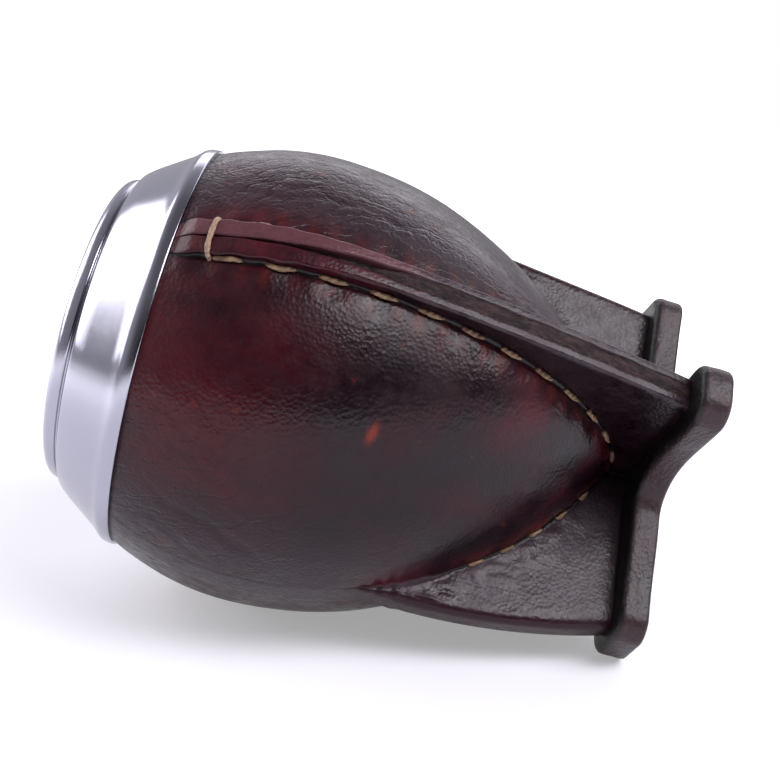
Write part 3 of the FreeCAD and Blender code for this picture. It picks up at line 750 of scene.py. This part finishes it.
def dressCover(piece):
    s = Shader("coverLeather")
    look = coverLook
    height = s.height()
    root = s.attribute("rootDistance").outputs["Fac"]
    seam = s.attribute("isSeam").outputs["Fac"]
    tipPart = s.attribute("tipPart").outputs["Fac"]
    nearSide = s.span(s.attribute("sideSign").outputs["Fac"], 0.1, -0.1)
    angle = s.math("MULTIPLY", s.attribute("panelAngle").outputs["Fac"], 360.0)
    onBody = s.span(root, -0.3, 0.6)
    large = s.noise(30.0, 3.0, 0.6)
    middle = s.noise(110.0, 4.0, 0.6)
    fine = s.noise(520.0, 3.0, 0.6)
    streaks = s.noise(55.0, 4.0, 0.6, (1.0, 1.0, 0.3))
    blotch = s.math("ADD", s.math("MULTIPLY", middle, 0.45), s.math("MULTIPLY", large, 0.55))
    base = s.mix(s.span(blotch, 0.40, 0.62), look["black"], look["oxblood"])
    nearRim = s.math("MULTIPLY", s.span(height, 0.056, 0.088), s.span(streaks, 0.30, 0.62))
    base = s.mix(s.math("MULTIPLY", nearRim, 0.85), base, look["red"])
    base = s.mix(s.math("MULTIPLY", s.span(blotch, 0.52, 0.70), 0.7), base, look["red"])
    # painted reflection: the lower, front-facing side around the low fin, from the belly up to the rim, is
    # mixed towards a greyer brown
    low = s.math("MULTIPLY", s.span(angle, 306.0, 286.0), s.span(angle, 240.0, 262.0))
    base = s.mix(s.math("MULTIPLY", low, s.span(height, 0.036, 0.060, 0.0, 0.85)), base, look["brown"])
    # painted sheen: the top panel between the seam and far fins, which faces up, is mixed towards brown and
    # grey streaks
    top = s.math("MULTIPLY", s.span(angle, 4.0, 14.0), s.span(angle, 120.0, 80.0))
    base = s.mix(s.math("MULTIPLY", top, 0.75), base, s.mix(streaks, look["brown"], look["grey"]))
    bellyFold = s.math("MULTIPLY", s.attribute("pinch").outputs["Fac"], 0.9)
    base = s.mix(bellyFold, base, look["red"])
    patch = s.math("MULTIPLY", s.attribute("patch").outputs["Fac"], s.span(fine, 0.3, 0.6, 0.35, 1.0))
    base = s.mix(s.math("MULTIPLY", patch, 0.75), base, s.mix(middle, look["red"], look["orange"]))
    base = s.mix(s.math("MULTIPLY", s.attribute("scar").outputs["Fac"], 0.9), base, look["orange"])
    specks = s.span(s.noise(260.0, 2.0, 0.5), 0.70, 0.76)
    base = s.mix(s.math("MULTIPLY", specks, 0.30), base, look["orange"])
    foldSide = s.mix(s.span(middle, 0.35, 0.65), look["brown"], look["grey"])
    # painted shade: both sides of the seam fin are given near-black tones
    seamFinShade = s.mix(s.span(middle, 0.4, 0.7), look["black"], look["deep"])
    base = s.mix(onBody, s.mix(seam, foldSide, seamFinShade), base)
    ridgeLow = s.mix(s.span(fine, 0.4, 0.6), look["brown"], look["grey"])
    ridgeRed = s.mix(s.span(middle, 0.40, 0.62), look["oxblood"], look["red"])
    ridge = s.mix(s.span(height, 0.050, 0.060), ridgeLow, s.mix(nearSide, look["mauve"], ridgeRed))
    ridgeTop = s.math("MULTIPLY", seam, s.span(height, 0.056, 0.064))
    ridgeSide = s.math("MULTIPLY", ridgeTop, s.span(root, 0.2, -0.4))
    tipMask = s.math("MAXIMUM", s.math("MULTIPLY", tipPart, seam), ridgeSide)
    base = s.mix(tipMask, base, ridge)
    foldEdge = s.math("MULTIPLY", tipPart, s.math("SUBTRACT", 1.0, seam))
    base = s.mix(s.math("MULTIPLY", foldEdge, s.span(height, 0.058, 0.048)), base,
                 s.mix(middle, look["oxblood"], look["brown"]))
    # painted shade: the crease along each fin's root is darkened almost to black
    base = s.mix(s.attribute("rootShade").outputs["Fac"], base, look["rootShade"])
    # painted shade: the long creases are darkened towards black
    base = s.mix(s.math("MULTIPLY", s.attribute("crease").outputs["Fac"], 0.5), base, look["black"])
    base = s.mix(s.span(fine, 0.45, 0.75, 0.0, 0.35), base, look["deep"])
    cells = s.voronoi(560.0, (1.0, 1.0, 0.8))
    # thin creases where a stretched noise passes its middle value, on the top panel and low at the rim:
    # painted shade darkens them towards black, and a bump cuts them in
    waver = s.math("MULTIPLY", s.math("SUBTRACT", s.math("ADD", middle, large), 1.0), look["creaseWaver"])
    wavy = s.math("ADD", s.attribute("around").outputs["Fac"], waver)
    axial = s.add("CombineXYZ", {0: wavy, 1: height, 2: 0.0}).outputs[0]
    lowFront = s.math("MULTIPLY", s.span(angle, 325.0, 305.0), s.span(height, 0.055, 0.075))
    marks = []
    for turn, scale, where in ((0.0, 312.0, top), (look["creaseTurn"], 360.0, lowFront)):
        laid = s.add("Mapping", {"Vector": axial, "Rotation": (0.0, 0.0, turn)}).outputs[0]
        laid = s.add("Mapping", {"Vector": laid, "Scale": (1.0, look["creaseStretch"], 1.0)}).outputs[0]
        field = s.add("TexNoise", {"Vector": laid, "Scale": scale, "Detail": 1.0, "Roughness": 0.5})
        line = s.span(s.math("ABSOLUTE", s.math("SUBTRACT", field.outputs["Fac"], 0.5)), 0.04, 0.0)
        marks.append(s.math("MULTIPLY", s.math("MULTIPLY", line, where), onBody))
    thin = s.math("MAXIMUM", marks[0], marks[1])
    # painted shade in the thin creases
    base = s.mix(s.math("MULTIPLY", thin, 0.45), base, look["black"])
    normal = s.bump(s.math("SUBTRACT", 1.0, thin), 0.24, 0.0003)
    normal = s.bump(s.noise(170.0, 5.0, 0.65, (1.0, 1.0, 0.35)), 0.08, 0.0006, normal)
    normal = s.bump(cells, 0.08, 0.0004, normal)
    normal = s.bump(s.voronoi(1500.0), 0.26, 0.0002, normal)
    worn = s.math("ADD", middle, s.math("MULTIPLY", fine, 0.6))
    rough = s.span(worn, 0.55, 1.0, look["roughness"] - 0.08, look["roughness"] + 0.12)
    shader = s.add("BsdfPrincipled", {"Base Color": base, "Roughness": rough, "Normal": normal,
                                      "Specular IOR Level": look["specular"], "Coat Weight": look["coat"],
                                      "Coat Roughness": look["coatRoughness"], "Coat Normal": normal})
    s.finish(shader, piece)


coreLook = {"dark": colour(0.010, 0.005, 0.006), "fibre": colour(0.070, 0.036, 0.038), "roughness": 0.72}


def dressCore(piece):
    s = Shader("coreLeather")
    look = coreLook
    fibre = s.noise(900.0, 5.0, 0.7, (1.0, 1.0, 0.4))
    base = s.mix(s.span(fibre, 0.35, 0.7), look["dark"], look["fibre"])
    normal = s.bump(fibre, 0.9, 0.0009)
    normal = s.bump(s.noise(2500.0, 2.0, 0.6), 0.5, 0.0003, normal)
    s.finish(s.add("BsdfPrincipled", {"Base Color": base, "Roughness": look["roughness"], "Normal": normal,
                                      "Specular IOR Level": 0.35}), piece)


soleLook = {
    "dark": colour(0.016, 0.006, 0.009), "brown": colour(0.040, 0.016, 0.021),
    # top is near-black, painted shade for the sole's upper face
    "top": colour(0.003, 0.002, 0.0025), "fibre": colour(0.075, 0.034, 0.038),
    "smooth": 0.36, "rough": 0.52, "coat": 0.12,
}


def dressSole(piece):
    s = Shader("soleLeather")
    look = soleLook
    edge = s.attribute("edgeHeight").outputs["Fac"]
    grain = s.noise(420.0, 4.0, 0.65, (1.0, 1.0, 2.2))
    large = s.noise(70.0, 3.0, 0.6)
    base = s.mix(s.span(large, 0.35, 0.65), look["dark"], look["brown"])
    # painted shade: the sole's upper face, beside the fins, is painted near-black
    base = s.mix(s.span(edge, 0.78, 0.95), base, look["top"])
    base = s.mix(s.math("MULTIPLY", s.span(grain, 0.58, 0.72), 0.5), base, look["fibre"])
    normal = s.bump(grain, 0.45, 0.0007)
    normal = s.bump(s.voronoi(1300.0), 0.3, 0.0003, normal)
    rough = s.span(large, 0.3, 0.7, look["smooth"], look["rough"])
    s.finish(s.add("BsdfPrincipled", {"Base Color": base, "Roughness": rough, "Normal": normal,
                                      "Specular IOR Level": 0.4, "Coat Weight": look["coat"],
                                      "Coat Roughness": 0.3}), piece)


rimLook = {
    "dark": colour(0.35, 0.345, 0.41), "light": colour(0.44, 0.435, 0.50), "smooth": 0.13, "rough": 0.22,
}


def dressRim(piece):
    s = Shader("rimMetal")
    brushed = s.noise(900.0, 3.0, 0.6, (1.0, 1.0, 30.0))
    smear = s.noise(45.0, 3.0, 0.6, (1.0, 1.0, 0.4))
    base = s.mix(smear, rimLook["dark"], rimLook["light"])
    normal = s.bump(brushed, 0.05, 0.0002)
    normal = s.bump(smear, 0.12, 0.0012, normal)
    rough = s.span(smear, 0.3, 0.7, rimLook["smooth"], rimLook["rough"])
    s.finish(s.add("BsdfPrincipled", {"Base Color": base, "Metallic": 1.0, "Roughness": rough,
                                      "Normal": normal}), piece)


gourdLook = {
    "dark": colour(0.20, 0.12, 0.055), "light": colour(0.46, 0.33, 0.18), "stain": colour(0.14, 0.08, 0.04),
}


def dressGourd(piece):
    s = Shader("gourdShell")
    fibre = s.noise(260.0, 5.0, 0.7, (1.0, 1.0, 0.3))
    base = s.mix(s.span(fibre, 0.3, 0.7), gourdLook["dark"], gourdLook["light"])
    base = s.mix(s.span(s.noise(60.0, 3.0), 0.5, 0.7), base, gourdLook["stain"])
    normal = s.bump(fibre, 0.8, 0.0012)
    s.finish(s.add("BsdfPrincipled", {"Base Color": base, "Roughness": 0.82, "Normal": normal,
                                      "Specular IOR Level": 0.25}), piece)


threadLook = {
    "clean": colour(0.34, 0.215, 0.12), "dirty": colour(0.12, 0.055, 0.032),
    "strand": colour(0.45, 0.33, 0.22), "loop": colour(0.40, 0.26, 0.18),
}


def dressThread(piece):
    s = Shader("waxedThread")
    look = threadLook
    twist = s.add("TexWave", {"Vector": s.place(None), "Scale": 420.0, "Distortion": 2.0, "Detail": 2.0},
                  bands_direction="DIAGONAL").outputs["Fac"]
    dirt = s.noise(300.0, 3.0, 0.6)
    base = s.mix(s.span(dirt, 0.35, 0.7), look["clean"], look["dirty"])
    base = s.mix(s.math("MULTIPLY", twist, 0.3), base, look["strand"])
    base = s.mix(s.span(s.height(), 0.0865, 0.0875), base, look["loop"])      # the loop stays cleaner
    normal = s.bump(twist, 0.5, 0.0003)
    s.finish(s.add("BsdfPrincipled", {"Base Color": base, "Roughness": 0.55, "Normal": normal,
                                      "Specular IOR Level": 0.4}), piece)


dressCover(cover)
dressCore(seamCore)
dressSole(solePiece)
dressRim(rimPiece)
dressGourd(gourdPiece)
for name in names:
    dressThread(threads[name])

pieces = [(cover, "cover", "cover_leather"), (seamCore, "seam_core", "core_leather"),
          (solePiece, "sole", "sole_leather"), (rimPiece, "rim", "rim_metal"),
          (gourdPiece, "gourd", "gourd_shell")]
pieces += [(threads[name], "thread_" + name, "thread") for name in names]
for piece, node, slot in pieces:
    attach(piece, "root")
    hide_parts(node)
print("materials")

# a pale table, four soft lamps and a dim room; sizes in metres
studio = {
    "floor": colour(0.79, 0.785, 0.85), "floorSize": 6.0,
    "nearWhite": 0.34, "nearRadius": 0.12, "farRadius": 0.42,      # how much white is added near and far
    "tint": colour(0.93, 0.92, 1.0), "sky": {"low": 0.01, "up": 0.18, "left": 0.45, "back": 0.45},
    "lights": [  # name, place, size, power, colour
        ("right", (0.45, -0.16, 0.42), (0.30, 0.34), 2.0, (0.97, 0.96, 1.0)),
        ("highRight", (0.27, -0.32, 0.56), (0.30, 0.26), 1.9, (0.97, 0.95, 1.0)),
        ("back", (0.20, 0.66, 0.52), (1.00, 0.36), 2.2, (0.95, 0.94, 1.0)),
        ("left", (-0.62, 0.15, 0.36), (0.56, 0.54), 2.9, (0.98, 0.98, 1.0)),
    ],
    "aim": (0.0, 0.0, 0.04),
}


def buildFloor():
    size = studio["floorSize"]
    mesh = bpy.data.meshes.new("floor")
    corners = [(-size, -size, 0), (size, -size, 0), (size, size, 0), (-size, size, 0)]
    mesh.from_pydata(corners, [], [(0, 1, 2, 3)])
    floor = bpy.data.objects.new("floor", mesh)
    bpy.context.scene.collection.objects.link(floor)
    material = bpy.data.materials.new("floorWhite")
    material.use_nodes = True
    tree = material.node_tree
    tree.nodes.clear()
    add, link = tree.nodes.new, tree.links.new
    geometry, length = add("ShaderNodeNewGeometry"), add("ShaderNodeVectorMath")
    length.operation = "LENGTH"
    link(geometry.outputs["Position"], length.inputs[0])
    far = add("ShaderNodeMapRange")
    far.interpolation_type = "SMOOTHSTEP"
    far.inputs["From Min"].default_value = studio["nearRadius"]
    far.inputs["From Max"].default_value = studio["farRadius"]
    far.inputs["To Min"].default_value = studio["nearWhite"]
    link(length.outputs["Value"], far.inputs["Value"])
    # white is added for what the camera, metal and glass see, least beside the cup, where its shadow lies
    path, direct, seen, shown = [add(kind) for kind in ["ShaderNodeLightPath"] + ["ShaderNodeMath"] * 3]
    direct.operation = seen.operation = "MAXIMUM"
    shown.operation = "MULTIPLY"
    link(path.outputs["Is Camera Ray"], direct.inputs[0])
    link(path.outputs["Is Glossy Ray"], direct.inputs[1])
    link(direct.outputs[0], seen.inputs[0])
    link(path.outputs["Is Transmission Ray"], seen.inputs[1])
    link(far.outputs[0], shown.inputs[0])
    link(seen.outputs[0], shown.inputs[1])
    diffuse, white, both = add("ShaderNodeBsdfDiffuse"), add("ShaderNodeEmission"), add("ShaderNodeAddShader")
    diffuse.inputs["Color"].default_value = studio["floor"]
    link(shown.outputs[0], white.inputs["Strength"])
    output = add("ShaderNodeOutputMaterial")
    link(diffuse.outputs[0], both.inputs[0])
    link(white.outputs[0], both.inputs[1])
    link(both.outputs[0], output.inputs["Surface"])
    mesh.materials.append(material)
    return floor


def buildWorld():
    world = bpy.data.worlds.new("studioWorld")
    bpy.context.scene.world = world
    world.use_nodes = True
    tree = world.node_tree
    tree.nodes.clear()
    add, link = tree.nodes.new, tree.links.new
    path, seen = add("ShaderNodeLightPath"), add("ShaderNodeMath")
    seen.operation = "MAXIMUM"
    link(path.outputs["Is Camera Ray"], seen.inputs[0])
    link(path.outputs["Is Transmission Ray"], seen.inputs[1])
    # softly lit room: bright above and to the left, dark in front
    sky = studio["sky"]
    direction, parts = add("ShaderNodeTexCoord"), add("ShaderNodeSeparateXYZ")
    link(direction.outputs["Generated"], parts.inputs[0])
    total = sky["low"]
    for index, sign, key in ((2, 1.0, "up"), (0, -1.0, "left"), (1, 1.0, "back")):
        ramp, summed = add("ShaderNodeMapRange"), add("ShaderNodeMath")
        ramp.interpolation_type = "SMOOTHSTEP"
        ramp.inputs["From Min"].default_value = 0.1 * sign
        ramp.inputs["From Max"].default_value = 0.95 * sign
        ramp.inputs["To Max"].default_value = sky[key]
        link(parts.outputs[index], ramp.inputs["Value"])
        link(ramp.outputs[0], summed.inputs[0])
        if isinstance(total, float):
            summed.inputs[1].default_value = total
        else:
            link(total, summed.inputs[1])
        total = summed.outputs[0]
    soft, white, blend = add("ShaderNodeBackground"), add("ShaderNodeBackground"), add("ShaderNodeMixShader")
    link(total, soft.inputs["Strength"])
    soft.inputs["Color"].default_value = studio["tint"]
    white.inputs["Strength"].default_value = 1.0
    white.inputs["Color"].default_value = colour(1.0, 1.0, 1.0)
    output = add("ShaderNodeOutputWorld")
    link(seen.outputs[0], blend.inputs[0])
    link(soft.outputs[0], blend.inputs[1])
    link(white.outputs[0], blend.inputs[2])
    link(blend.outputs[0], output.inputs["Surface"])


def buildLights():
    for name, place, size, power, tint in studio["lights"]:
        data = bpy.data.lights.new(name, "AREA")
        data.shape = "RECTANGLE"
        data.size, data.size_y = size
        data.energy = power
        data.color = tint
        lamp = bpy.data.objects.new(name, data)
        bpy.context.scene.collection.objects.link(lamp)
        lamp.location = place
        lamp.rotation_euler = (Vector(studio["aim"]) - Vector(place)).to_track_quat("-Z", "Y").to_euler()


view = {"place": (0.00096, -0.20995, 0.09761), "turn": (75.094, -3.198, 0.509), "lens": 52.58, "sensor": 36.0}


def buildCamera():
    data = bpy.data.cameras.new("camera")
    data.lens = view["lens"]
    data.sensor_width = view["sensor"]
    camera = bpy.data.objects.new("camera", data)
    camera.location = view["place"]
    camera.rotation_euler = [math.radians(a) for a in view["turn"]]
    bpy.context.scene.collection.objects.link(camera)
    return camera


floor = buildFloor()
buildWorld()
buildLights()
camera = buildCamera()
bpy.context.scene.camera = camera
bpy.context.scene.view_settings.view_transform = "Standard"

print("camera and light")
